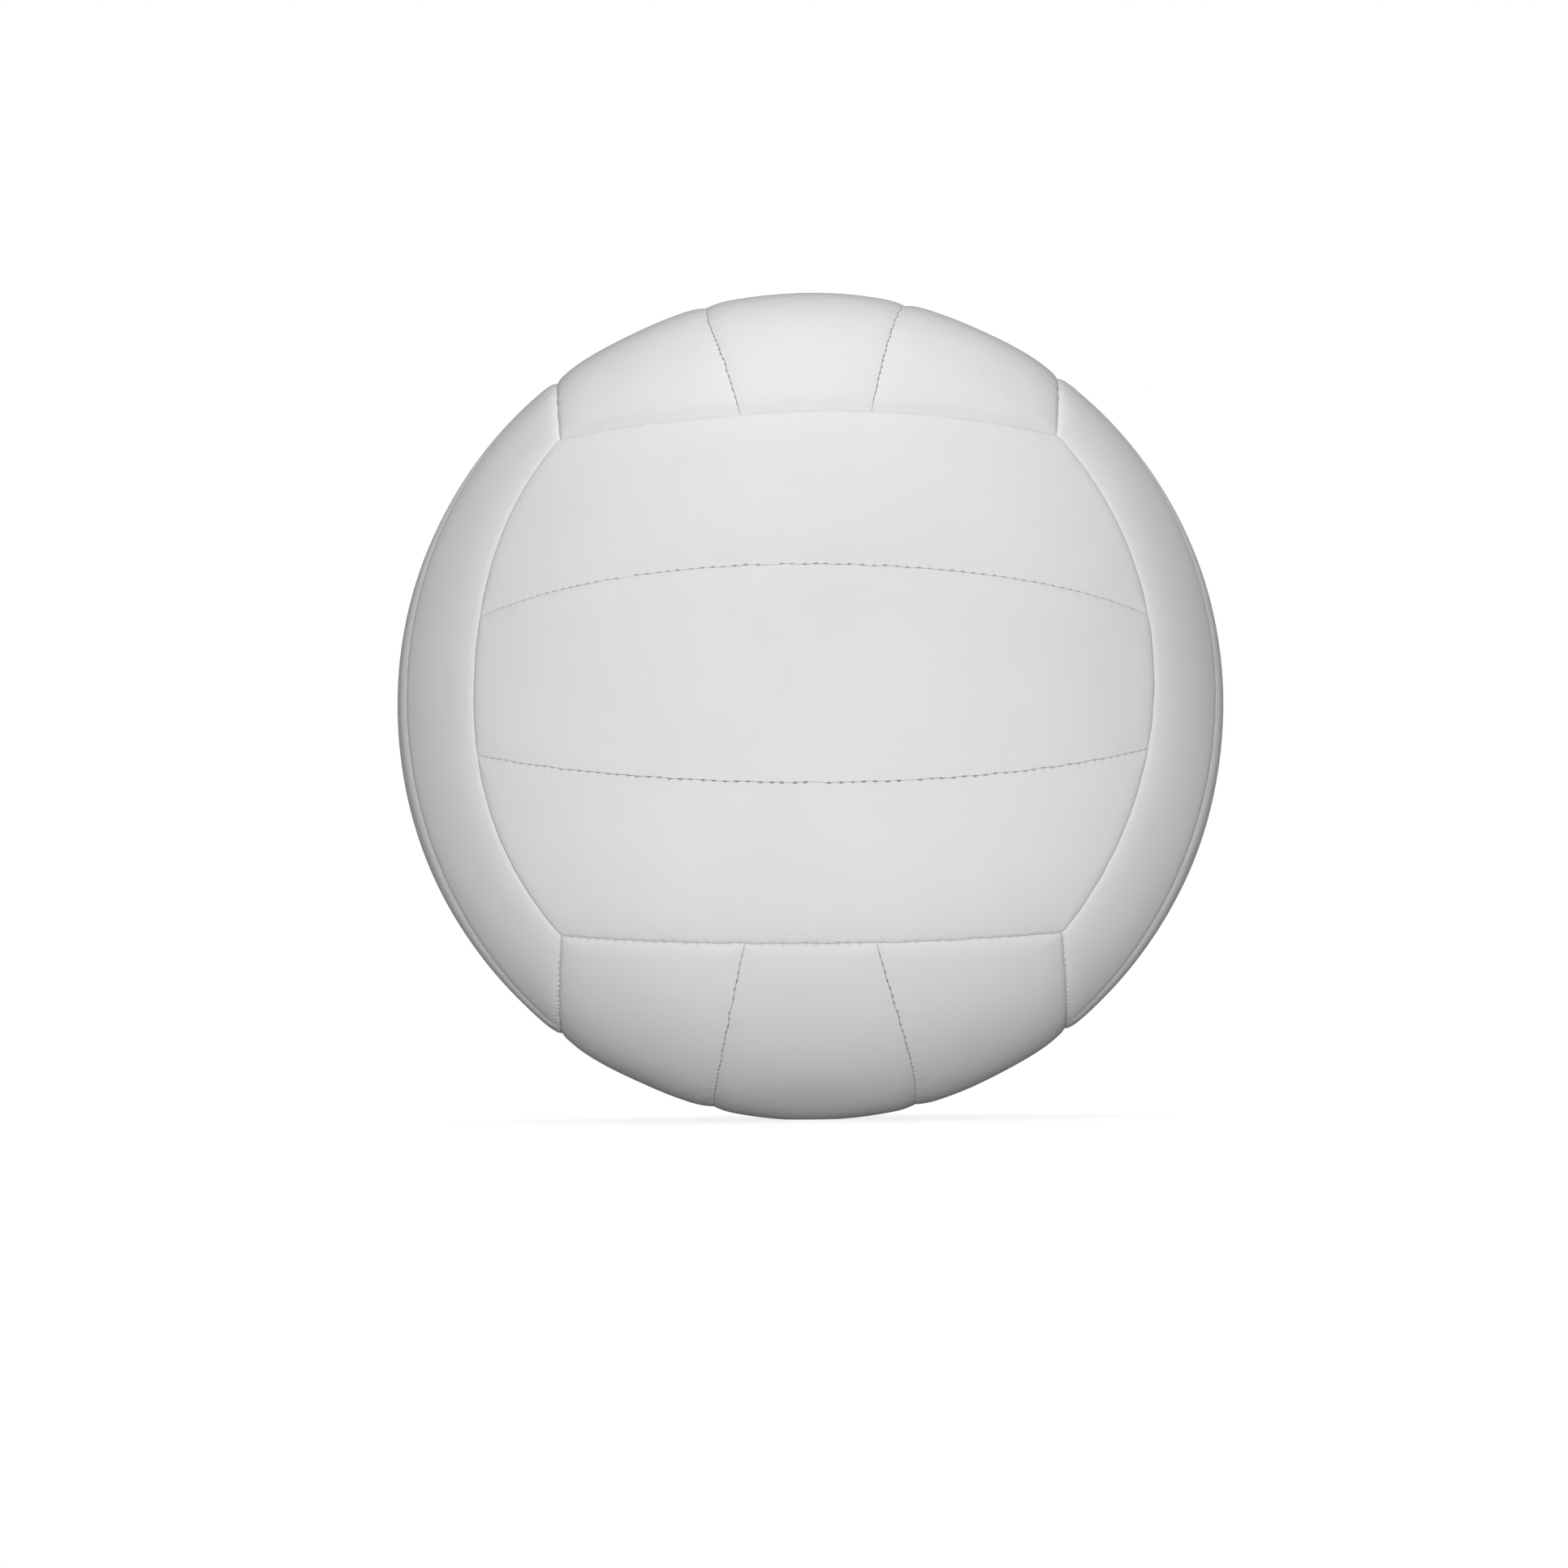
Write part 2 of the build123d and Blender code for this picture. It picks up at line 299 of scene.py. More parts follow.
def weave_effect():
    # plain weave: the threads of both directions show in turn
    tree, given, out = group_tree(
        "weave",
        [("Per metre", "NodeSocketFloat", 900.0)],
        [("Height", "NodeSocketFloat"), ("Mask", "NodeSocketFloat")],
    )
    place = node(tree, "ShaderNodeTexCoord")
    sizes = node(tree, "ShaderNodeVectorMath", operation="SCALE")
    apart = node(tree, "ShaderNodeSeparateXYZ")
    tree.links.new(place.outputs["Object"], sizes.inputs[0])
    tree.links.new(given.outputs["Per metre"], sizes.inputs["Scale"])
    tree.links.new(sizes.outputs["Vector"], apart.inputs["Vector"])
    waves = []
    for axis in ("X", "Y", "Z"):
        wave = node(tree, "ShaderNodeMath", operation="SINE")
        tree.links.new(apart.outputs[axis], wave.inputs[0])
        waves.append(wave.outputs["Value"])
    first = node(tree, "ShaderNodeMath", operation="MULTIPLY")
    second = node(tree, "ShaderNodeMath", operation="MULTIPLY_ADD")
    level = node(tree, "ShaderNodeMapRange")
    level.inputs["From Min"].default_value = -1.0
    tree.links.new(waves[0], first.inputs[0])
    tree.links.new(waves[1], first.inputs[1])
    tree.links.new(waves[2], second.inputs[0])
    tree.links.new(waves[0], second.inputs[1])
    tree.links.new(first.outputs["Value"], second.inputs[2])
    tree.links.new(second.outputs["Value"], level.inputs["Value"])
    tree.links.new(level.outputs["Result"], out.inputs["Height"])
    tree.links.new(level.outputs["Result"], out.inputs["Mask"])
    return tree


WEAVE = weave_effect()


def cloth(name, pale, shade):
    finish, tree, shader = finish_named(name)
    colour = place_group(tree, BLOTCH, Light=pale, Dark=shade, Per_metre=260.0)
    threads = place_group(tree, WEAVE, Per_metre=4200.0)
    tree.links.new(colour.outputs["Colour"], shader.inputs["Base Color"])
    tree.links.new(spread_roughness(tree, threads.outputs["Mask"], 0.8, 0.95), shader.inputs["Roughness"])
    tree.links.new(bump(tree, threads.outputs["Height"], 0.2 * MM, 0.8), shader.inputs["Normal"])
    shader.inputs["Sheen Weight"].default_value = 0.15
    return finish


lining_cloth = cloth("lining_weave", CLOTH_PALE, CLOTH_SHADE)
lining_outline = shell_outline(LINING_OUTER, LINING_INNER, VALVE_HOLE, 0)
lining = turned("lining_layer", lining_outline, LAYER_SIDES, lining_cloth)
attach(lining, "ball")
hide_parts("lining")

# Valve patch: a round of cloth, punched to let the neck through. It is glued behind the valve panel's
# foam and keeps the hole there from tearing.
PATCH_RADIUS = 14 * MM
PATCH_OUTER = 101.4 * MM
PATCH_INNER = 100.9 * MM
PATCH_PALE = (0.7, 0.68, 0.63, 1)
PATCH_SHADE = (0.58, 0.55, 0.5, 1)

patch_outline = arc_outline(PATCH_INNER, VALVE_HOLE, PATCH_RADIUS)
patch_outline += arc_outline(PATCH_OUTER, PATCH_RADIUS, VALVE_HOLE)
patch_cloth = cloth("patch_weave", PATCH_PALE, PATCH_SHADE)
valve_backing = turned("valve_backing", patch_outline, VALVE_SIDES, patch_cloth)
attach(valve_backing, "ball")
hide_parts("valve_patch")

# Foam pads: soft closed-cell foam glued behind each cover panel. Each is cut a little smaller than its
# panel, so that the turned-in edges and their stitches have room, and its rim is rounded like the
# panel's.
BALL_RADIUS = 105 * MM
MIDDLE_STRIP_WIDTH = 51.7 * MM
END_SEAM_BOW = 13.75 * MM
STRIP_ANGLE = MIDDLE_STRIP_WIDTH / 2 / BALL_RADIUS
END_ANGLE = pi / 4 + END_SEAM_BOW / BALL_RADIUS
CUBE_CORNER = 1 / sqrt(3)
TILT = atan2(cos(END_ANGLE) - CUBE_CORNER, sin(END_ANGLE) - CUBE_CORNER)
RING_ANGLE = END_ANGLE + TILT
PAD_OUTER = 103.85 * MM
PAD_INNER = 100.95 * MM
PAD_INSET = 1.95 * MM
PAD_ROUND = 1.4 * MM
PAD_ROUND_WIDTH = 3.2 * MM
PAD_ROUND_POWER = 2.4
PAD_CELLS_ALONG = 72
PAD_CELLS_ACROSS = {-1: 24, 0: 20, 1: 24}
PAD_HOLE_CELLS = 8
NET_ROUNDS = 14
FOAM_PALE = (0.78, 0.75, 0.66, 1)
FOAM_SHADE = (0.66, 0.62, 0.53, 1)
# the panels were not sewn quite evenly: places on the ball, how far the seams there are drawn over, and
# how far that reaches along the pull and across it, all in mm
SEWN_PULLS = np.array(
    (
        ((-83, -63, 8), (5.6, 0, 0), (18, 24, 0)),
        ((16, -101, 25), (0, 0, -1.4), (22, 45, 0)),
        ((20, -100, -25), (0, 0, -0.85), (22, 45, 0)),
        ((76, -63, -37), (-2.3, 0, 0), (18, 30, 0)),
        ((-26, -80, 63), (0, 0, -1.1), (15, 14, 0)),
        ((0, -82, -64), (0, 0, 1), (15, 60, 0)),
        ((20, -63, 81), (-1.4, 0, 0), (18, 30, 0)),
        ((-23, -46, 91), (-1.2, 0, 0), (18, 16, 0)),
        ((16, -81, -65), (-1.15, 0, 0), (15, 13, 0)),
        ((24, -41, -94), (0.65, 0, 0), (15, 14, 0)),
        ((-102, -26, 0), (0, -5, 0), (15, 55, 0)),
        ((97, -26, -30), (0, -4, 0), (15, 50, 0)),
    )
)

# outward direction, direction across the strips, and the names of the strips from low to high
GROUPS = {
    "front": ((0, -1, 0), (0, 0, -1), ("upper", "middle", "lower")),
    "back": ((0, 1, 0), (0, 0, 1), ("lower", "middle", "upper")),
    "left": ((-1, 0, 0), (0, -1, 0), ("rear", "middle", "front")),
    "right": ((1, 0, 0), (0, 1, 0), ("front", "middle", "rear")),
    "top": ((0, 0, 1), (1, 0, 0), ("left", "middle", "right")),
    "bottom": ((0, 0, -1), (-1, 0, 0), ("right", "middle", "left")),
}


def group_turn(group):
    # columns: across the strips, along them, outward
    outward, across, _ = GROUPS[group]
    outward, across = np.array(outward, float), np.array(across, float)
    return np.stack([across, np.cross(outward, across), outward], axis=1)


def strip_sides(side, latitude):
    # where a strip begins and ends, as angles about the line along the strips
    if side == 0:
        return -STRIP_ANGLE + 0 * latitude, STRIP_ANGLE + 0 * latitude
    far = TILT + np.arcsin(np.clip(cos(RING_ANGLE) / np.cos(latitude), -1, 1))
    return STRIP_ANGLE + 0 * latitude, far


def panel_net(side, along, across, end_inset, side_inset):
    # directions of points of a panel from the ball's centre. Along and across run from -1 to 1 between
    # the lines that lie the insets in from its seams
    along, across = np.asarray(along, float), np.asarray(across, float)
    if side < 0:
        return panel_net(1, -along, -across, end_inset, side_inset) * (-1, -1, 1)
    latitude = 0.7 * along
    turn = STRIP_ANGLE * across
    for _ in range(NET_ROUNDS):
        reach = np.cos(turn) * cos(TILT)
        end = np.arccos(cos(RING_ANGLE) / np.sqrt(reach**2 + sin(TILT) ** 2)) - np.arctan2(sin(TILT), reach)
        latitude = along * (end - end_inset / BALL_RADIUS)
        first, last = strip_sides(side, latitude)
        half = (last - first) / 2 - side_inset / (BALL_RADIUS * np.cos(latitude))
        turn = (first + last) / 2 + across * half
    return np.stack([np.sin(turn) * np.cos(latitude), np.sin(latitude), np.cos(turn) * np.cos(latitude)], -1)


def panel_seams(side):
    # the four seams of a panel as circles on the ball: axis, direction of the seam's middle, direction
    # along the seam, angle from the axis, and whether the panel lies inside (1) or outside (-1) of the
    # circle
    if side < 0:
        half_turn = np.array((-1, -1, 1))
        return [(a * half_turn, m * half_turn, k * half_turn, r, i) for a, m, k, r, i in panel_seams(1)]
    seams = []
    for end in (-1, 1):
        axis, middle = (0, -end * sin(TILT), cos(TILT)), (0, end * cos(TILT), sin(TILT))
        seams.append((axis, middle, (1, 0, 0), RING_ANGLE, 1))
    strip_axis = (cos(STRIP_ANGLE), 0, -sin(STRIP_ANGLE))
    strip_middle = (sin(STRIP_ANGLE), 0, cos(STRIP_ANGLE))
    if side == 0:
        for hand in (-1, 1):
            turned_axis = (hand * strip_axis[0], 0, strip_axis[2])
            turned_middle = (hand * strip_middle[0], 0, strip_middle[2])
            seams.append((turned_axis, turned_middle, (0, 1, 0), pi / 2, -1))
    else:
        seams.append((strip_axis, strip_middle, (0, 1, 0), pi / 2, 1))
        seams.append(((cos(TILT), 0, -sin(TILT)), (sin(TILT), 0, cos(TILT)), (0, 1, 0), RING_ANGLE, -1))
    return [(np.array(a, float), np.array(m, float), np.array(k, float), r, i) for a, m, k, r, i in seams]


def seam_distances(seams, directions):
    # distance of each point from each seam, round the ball
    return [i * BALL_RADIUS * (r - np.arccos(np.clip(directions @ a, -1, 1))) for a, _, _, r, i in seams]


def rim_loop(count_along, count_across):
    # once round a panel's rim, as places along and across it
    rise, run = np.linspace(-1, 1, count_along + 1)[:-1], np.linspace(-1, 1, count_across + 1)[:-1]
    along = np.concatenate([rise, np.ones_like(run), -rise, -np.ones_like(run)])
    across = np.concatenate([-np.ones_like(rise), run, np.ones_like(rise), -run])
    return along, across


def as_sewn(points):
    # moves points of the even ball to where the panels were drawn in sewing
    heights = np.linalg.norm(points, axis=1)[:, None]
    directions = points / heights
    moved = directions.copy()
    for place, pull, reach in SEWN_PULLS * MM:
        off = directions * BALL_RADIUS - place
        along = off @ pull / np.linalg.norm(pull)
        across = (off**2).sum(1) - along**2
        share = np.exp(-((along / reach[0]) ** 2 + across / reach[1] ** 2) / 2)
        moved += share[:, None] * pull / BALL_RADIUS
    return moved / np.linalg.norm(moved, axis=1)[:, None] * heights


class Skin:
    """Points and faces of a closed piece, gathered row by row"""

    def __init__(self):
        self.points, self.faces, self.count = [], [], 0

    def row(self, points):
        self.points.append(points)
        self.count += len(points)
        return np.arange(self.count - len(points), self.count)

    def lace(self, outer, inner, flip=False):
        # faces between two closed rows, where the second may have one point for several of the first
        ratio = len(outer) // len(inner)
        outer, inner = np.append(outer, outer[0]), np.append(inner, inner[0])
        for i in range(len(inner) - 1):
            first, last = inner[i], inner[i + 1]
            for j in range(ratio):
                a, b = outer[i * ratio + j], outer[i * ratio + j + 1]
                if 2 * j + 1 == ratio:
                    face = [a, first, last, b]
                else:
                    face = [a, first if 2 * j < ratio else last, b]
                self.faces.append(face[::-1] if flip else face)

    def net(self, grid, window=None, flip=False):
        # faces of a net of points, without the cells of a window
        for i in range(grid.shape[0] - 1):
            for j in range(grid.shape[1] - 1):
                if window and window[0] <= i < window[1] and window[2] <= j < window[3]:
                    continue
                face = [grid[i, j], grid[i, j + 1], grid[i + 1, j + 1], grid[i + 1, j]]
                self.faces.append(face[::-1] if flip else face)

    def made(self, name, group, finish):
        points = as_sewn(np.concatenate(self.points) @ group_turn(group).T)
        return mesh_piece(name, points.tolist(), [[int(x) for x in face] for face in self.faces], finish)


def net_rim(grid):
    return np.concatenate([grid[:-1, 0], grid[-1, :-1], grid[:0:-1, -1], grid[0, :0:-1]])


def hole_window(grid, cells):
    # the window of a net round its middle, and the rim of that window
    low_along, low_across = (grid.shape[0] - 1 - cells) // 2, (grid.shape[1] - 1 - cells) // 2
    window = (low_along, grid.shape[0] - 1 - low_along, low_across, grid.shape[1] - 1 - low_across)
    return window, net_rim(grid[window[0] : window[1] + 1, window[2] : window[3] + 1])


def ring_directions(rim_directions, radius, share):
    # directions between the rim of the window (share 0) and a ring round the valve hole (share 1)
    flat = rim_directions[:, :2]
    flat = flat / np.linalg.norm(flat, axis=1)[:, None] * (radius / BALL_RADIUS)
    ring = np.column_stack([flat, np.sqrt(1 - (flat**2).sum(1))])
    mixed = rim_directions * (1 - share) + ring * share
    return mixed / np.linalg.norm(mixed, axis=1)[:, None]


def pad_piece(name, side, group, finish, hole):
    # the crown and the underside are nets of points, joined round the rim and, on the valve panel, in its
    # hole
    skin, seams = Skin(), panel_seams(side)
    cells = (PAD_CELLS_ALONG, PAD_CELLS_ACROSS[side])
    u, v = np.meshgrid(*[np.linspace(-1, 1, count + 1) for count in cells], indexing="ij")
    directions = panel_net(side, u.ravel(), v.ravel(), PAD_INSET, PAD_INSET)

    def crown(places):
        rim = np.min(np.stack(seam_distances(seams, places)), axis=0) - PAD_INSET
        return PAD_OUTER - PAD_ROUND * np.clip(1 - rim / PAD_ROUND_WIDTH, 0, 1) ** PAD_ROUND_POWER

    grids = [
        skin.row(directions * crown(directions)[:, None]).reshape(u.shape),
        skin.row(directions * PAD_INNER).reshape(u.shape),
    ]
    skin.lace(net_rim(grids[1]), net_rim(grids[0]))
    window = None
    if hole:
        window, rim = hole_window(grids[0], PAD_HOLE_CELLS)
        under_rim = hole_window(grids[1], PAD_HOLE_CELLS)[1]
        ring = ring_directions(directions[rim], VALVE_HOLE, 1.0)
        top, low = skin.row(ring * crown(ring)[:, None]), skin.row(ring * PAD_INNER)
        skin.lace(rim, top)
        skin.lace(top, low)
        skin.lace(low, under_rim)
    skin.net(grids[0], window)
    skin.net(grids[1], window, flip=True)
    return skin.made(name, group, finish)


def foam_finish():
    finish, tree, shader = finish_named("foam_cells")
    colour = place_group(tree, BLOTCH, Light=FOAM_PALE, Dark=FOAM_SHADE, Per_metre=90.0)
    cells = place_group(tree, GRAIN, Per_metre=1100.0, Smooth=0.1)
    tree.links.new(colour.outputs["Colour"], shader.inputs["Base Color"])
    tree.links.new(spread_roughness(tree, cells.outputs["Gloss"], 0.75, 0.95), shader.inputs["Roughness"])
    tree.links.new(bump(tree, cells.outputs["Height"], 0.3 * MM, 0.7), shader.inputs["Normal"])
    return finish


foam_cells = foam_finish()
for group, (_, _, strips) in GROUPS.items():
    for side, strip in zip((-1, 0, 1), strips):
        valve_panel = group == "back" and side == 0
        pad = pad_piece(f"{group}_{strip}_pad", side, group, foam_cells, valve_panel)
        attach(pad, "ball")
        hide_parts(f"{group}_{strip}_foam")

# Cover panels: strips of white coated leather over the foam. Each is sewn to its neighbours inside out
# and turned, so its edges roll in to a tight seam, and the stitches pull small nicks and puckers into the
# rolled edge.
SKIN = 1.0 * MM
HALF_GAP = 0.02 * MM
FLANGE_BOTTOM = 101.0 * MM
# rolls and folds at the seams are (depth, width): short ends, those of the top group, long edges round a
# group, edges between two strips, and the last bit of a group's own edges
END_ROLL = (0.6 * MM, 5.6 * MM)
TOP_END_ROLL = (1.2 * MM, 6.5 * MM)
OUTER_ROLL = (0.7 * MM, 10 * MM)
STRIP_ROLL = (0.6 * MM, 6 * MM)
ROLL_POWER = 2.3
EDGE_ROLL = (0.34 * MM, 1.7 * MM)
END_FOLD = (0.7 * MM, 0.28 * MM)
STRIP_FOLD = (0.22 * MM, 0.1 * MM)
FLAT_DEPTH = 0.06 * MM
FLAT_START = 3 * MM
FLAT_END = 20 * MM
CORNER_POWER = 4
STITCH_PITCH = 2.7 * MM
STITCH_ROOM = 100
STITCH_MISS = 0.04
STITCH_JITTER = 0.15 * MM
NICK = 0.42 * MM
NICK_LENGTH = 0.3 * MM
NICK_REACH = 0.7 * MM
NICK_RISE = 0.4
NICK_LEAST = 0.05
MIDDLE_NICK_SHARE = 0.2
TOP_OPENING = 0.15 * MM
WANDER = 0.07 * MM
WANDER_LENGTH = 10 * MM
WANDER_REACH = 1.5 * MM
PULL = 0.05 * MM
PULL_LENGTH = 0.6 * MM
PULL_REACH = 0.8 * MM
PUCKER = 0.015 * MM
PUCKER_LENGTH = 9 * MM
PUCKER_PLACE = 2.2 * MM
PUCKER_WIDTH = 1.6 * MM
RIPPLE_WAVES = 14
WAVE = 0.07 * MM
WAVE_LENGTH = 42 * MM
FINE_STEP = 0.3 * MM
COARSENING = 5
NET_INSET = 5.4 * MM
FOLD_ANGLES = (72, 54, 36, 18, 0)
ROLL_INSETS = (0.42, 0.6, 0.85, 1.2, 1.7, 2.3, 3.1, 4.0)
CORNER_FADE = 10
COVER_HOLE_CELLS = 12
HOLE_LIP = 0.45 * MM
LEATHER_WHITE = (0.83, 0.83, 0.83, 1)
LEATHER_SHADE = (0.8, 0.8, 0.8, 1)
LACQUER = (0.87, 0.87, 0.87, 1)


def ripple(places, length, seed):
    # smooth unevenness of about that length, between -1 and 1 for the most part
    draw = np.random.default_rng(seed)
    total = np.zeros(len(places))
    for _ in range(RIPPLE_WAVES):
        way = draw.normal(size=places.shape[1])
        way *= 2 * pi * draw.uniform(0.6, 1.4) / length / np.linalg.norm(way)
        total += np.sin(places @ way + draw.uniform(0, 2 * pi))
    return total / sqrt(RIPPLE_WAVES / 2)


def seam_number(axis):
    # a number for a seam, the same from both of its sides, which have the same axis
    key = [int(round(100 * x)) + 200 for x in axis]
    return key[0] * 401 * 401 + key[1] * 401 + key[2]


def seam_stitches(axis):
    # where the stitches of a seam lie, off their even pitch, and how hard each pulls
    draw = np.random.default_rng(seam_number(axis))
    count = 2 * STITCH_ROOM
    offsets, strengths = draw.normal(0, STITCH_JITTER, count), draw.uniform(0.6, 1.0, count)
    return offsets, strengths * (draw.uniform(size=count) > STITCH_MISS)


def seam_way(turn, along):
    # 1 or -1, so that both sides of a seam are counted the same way
    placed = turn @ along
    return np.sign(placed[np.argmax(np.abs(placed))])


def seam_arcs(seams, turn, directions):
    # place of each point along each seam
    arcs = []
    for _, middle, along, ring, _ in seams:
        spin = np.arctan2(directions @ along, directions @ middle)
        arcs.append(seam_way(turn, along) * BALL_RADIUS * sin(ring) * spin)
    return arcs


def stitch_pull(axis, arc, length):
    # 1 at a hard-pulled stitch, falling off along the seam on both sides of it
    offsets, strengths = seam_stitches(axis)
    number = np.floor(arc / STITCH_PITCH).astype(int)
    total = np.zeros_like(arc)
    for step in (-1, 0, 1):
        near = np.clip(number + step, -STITCH_ROOM, STITCH_ROOM - 1)
        centre = (near + 0.5) * STITCH_PITCH + offsets[near + STITCH_ROOM]
        total += strengths[near + STITCH_ROOM] * np.exp(-(((arc - centre) / length) ** 2) / 2)
    return total


def cover_height(seams, turn, directions, seed):
    # distance of the skin from the ball's centre: crowned, rolled in at its four seams, drawn down at the
    # stitches
    places = directions * BALL_RADIUS
    drops = np.zeros(len(directions))
    pucker = np.zeros(len(directions))
    arcs = seam_arcs(seams, turn, directions)
    gaps = seam_distances(seams, directions)
    inward = np.clip((np.min(np.stack(gaps), axis=0) - FLAT_START) / (FLAT_END - FLAT_START), 0, 1)
    flat = FLAT_DEPTH * inward**2 * (3 - 2 * inward)
    for number, (seam, gap, arc) in enumerate(zip(seams, gaps, arcs)):
        gap = np.maximum(gap, HALF_GAP)
        between_strips = seam[3] == pi / 2
        end_roll = TOP_END_ROLL if turn[2, 2] == 1 else END_ROLL
        roll_depth, roll_width = STRIP_ROLL if between_strips else end_roll if number < 2 else OUTER_ROLL
        fold_depth, fold_width = STRIP_FOLD if between_strips else END_FOLD
        roll = roll_depth * np.clip(1 - gap / roll_width, 0, 1) ** ROLL_POWER
        if not between_strips:
            roll += EDGE_ROLL[0] * np.clip(1 - gap / EDGE_ROLL[1], 0, 1) ** 2
        fold = fold_depth * (1 - np.sqrt(1 - np.clip(1 - (gap - HALF_GAP) / fold_width, 0, 1) ** 2))
        pull = PULL * stitch_pull(turn @ seam[0], arc, PULL_LENGTH) * np.exp(-gap / PULL_REACH)
        drops += (roll + fold + pull) ** CORNER_POWER
        near = np.exp(-(((gap - PUCKER_PLACE) / PUCKER_WIDTH) ** 2))
        pucker += PUCKER * near * ripple(arc[:, None], PUCKER_LENGTH, seed + 10 + number)
    wave = WAVE * inward * (ripple(places, WAVE_LENGTH, seed) - 1)
    return np.minimum(BALL_RADIUS - drops ** (1 / CORNER_POWER) - flat + wave + pucker, BALL_RADIUS)


def cover_piece(name, side, group, finish, hole, seed):
    skin, seams, turn = Skin(), panel_seams(side), group_turn(group)
    middle = panel_net(side, np.array([-1.0, 1.0, 0.0, 0.0]), np.array([0.0, 0.0, -1.0, 1.0]), 0, 0)
    spans = [BALL_RADIUS * np.arccos(middle[i] @ middle[i + 1]) for i in (0, 2)]
    steps = [COARSENING * int(round(span / FINE_STEP / COARSENING / 2)) * 2 for span in spans]
    along, across = rim_loop(*steps)
    on_ends, on_sides = np.abs(along) == 1, np.abs(across) == 1
    hand = -1 if side < 0 else 1
    on_seams = [along == -hand, along == hand, on_sides & (across == -hand), on_sides & (across == hand)]
    side_nick = NICK if side else MIDDLE_NICK_SHARE * NICK
    nick_sizes = [NICK, NICK, side_nick, side_nick]

    def edge_row(inset, radius):
        # a closed row of points that distance in from the seams. The seams wander a little, and at each
        # stitch the edge is nicked, round the groups mostly low on the ball. Round the top group the seam
        # gapes a little
        even = panel_net(side, along, across, inset, inset)
        if radius is None:
            radius = cover_height(seams, turn, even, seed)
        arcs = seam_arcs(seams, turn, even)
        drawn_in = np.zeros(len(even))
        for (axis, _, _, ring, inside), arc, on_seam, size in zip(seams, arcs, on_seams, nick_sizes):
            axis = turn @ axis
            nick = size * stitch_pull(axis, arc, NICK_LENGTH) * exp(-inset / NICK_REACH)
            opening = 0
            if ring != pi / 2:
                opening = TOP_OPENING if axis[2] > 0.5 else 0
                nick *= np.clip(-(even @ turn[2]) / NICK_RISE, NICK_LEAST, 1)
            wander = inside * WANDER * ripple(arc[:, None], WANDER_LENGTH, seam_number(axis))
            drawn_in += on_seam * (nick + (opening + wander) * exp(-inset / WANDER_REACH))
        ends = drawn_in * on_ends * (1 - across**CORNER_FADE)
        sides = drawn_in * on_sides * (1 - along**CORNER_FADE)
        moved = panel_net(side, along, across, inset + ends, inset + sides)
        return moved * np.broadcast_to(radius, len(even))[:, None], radius

    fold_row, fold_radius = edge_row(HALF_GAP, None)
    rows = [
        edge_row(HALF_GAP, FLANGE_BOTTOM)[0],
        edge_row(HALF_GAP, (FLANGE_BOTTOM + fold_radius) / 2)[0],
        fold_row,
    ]
    for angle in FOLD_ANGLES:
        rows.append(edge_row(HALF_GAP + END_FOLD[1] * (1 - sin(radians(angle))), None)[0])
    for inset in ROLL_INSETS:
        rows.append(edge_row(inset * MM, None)[0])
    rows = [skin.row(row) for row in rows]
    for outer, inner in zip(rows, rows[1:]):
        skin.lace(outer, inner)

    u, v = np.meshgrid(*[np.linspace(-1, 1, step // COARSENING + 1) for step in steps], indexing="ij")
    directions = panel_net(side, u.ravel(), v.ravel(), NET_INSET, NET_INSET)
    height = cover_height(seams, turn, directions, seed)
    top = skin.row(directions * height[:, None]).reshape(u.shape)
    under = skin.row(directions * (height - SKIN)[:, None]).reshape(u.shape)
    skin.lace(rows[-1], net_rim(top))
    coarse_along, coarse_across = along[::COARSENING], across[::COARSENING]
    inside = HALF_GAP + SKIN
    last = rows[0]
    for inset, sink in ((inside, None), (inside, 0.8 * MM), (inside + 0.35 * MM, 0.15 * MM), (2.6 * MM, 0)):
        even = panel_net(side, coarse_along, coarse_across, inset, inset)
        radius = FLANGE_BOTTOM
        if sink is not None:
            radius = (cover_height(seams, turn, even, seed) - SKIN - sink)[:, None]
        row = skin.row(even * radius)
        skin.lace(last, row, flip=True)
        last = row
    skin.lace(last, net_rim(under), flip=True)

    window = None
    if hole:
        window, rim = hole_window(top, COVER_HOLE_CELLS)
        under_rim = hole_window(under, COVER_HOLE_CELLS)[1]
        rim_directions = directions[rim - top[0, 0]]
        last = rim
        for radius, share, sink in (
            (VALVE_HOLE + 1.6 * MM, 0.55, 0),
            (VALVE_HOLE + 1.2 * MM, 1.0, 0),
            (VALVE_HOLE + HOLE_LIP, 1.0, 0),
            (VALVE_HOLE + 0.3 * HOLE_LIP, 1.0, 0.3 * HOLE_LIP),
            (VALVE_HOLE, 1.0, HOLE_LIP),
            (VALVE_HOLE, 1.0, SKIN),
        ):
            ring = ring_directions(rim_directions, radius, share)
            row = skin.row(ring * (cover_height(seams, turn, ring, seed) - sink)[:, None])
            skin.lace(last, row)
            last = row
        skin.lace(last, under_rim)
    skin.net(top, window)
    skin.net(under, window, flip=True)
    return skin.made(name, group, finish)


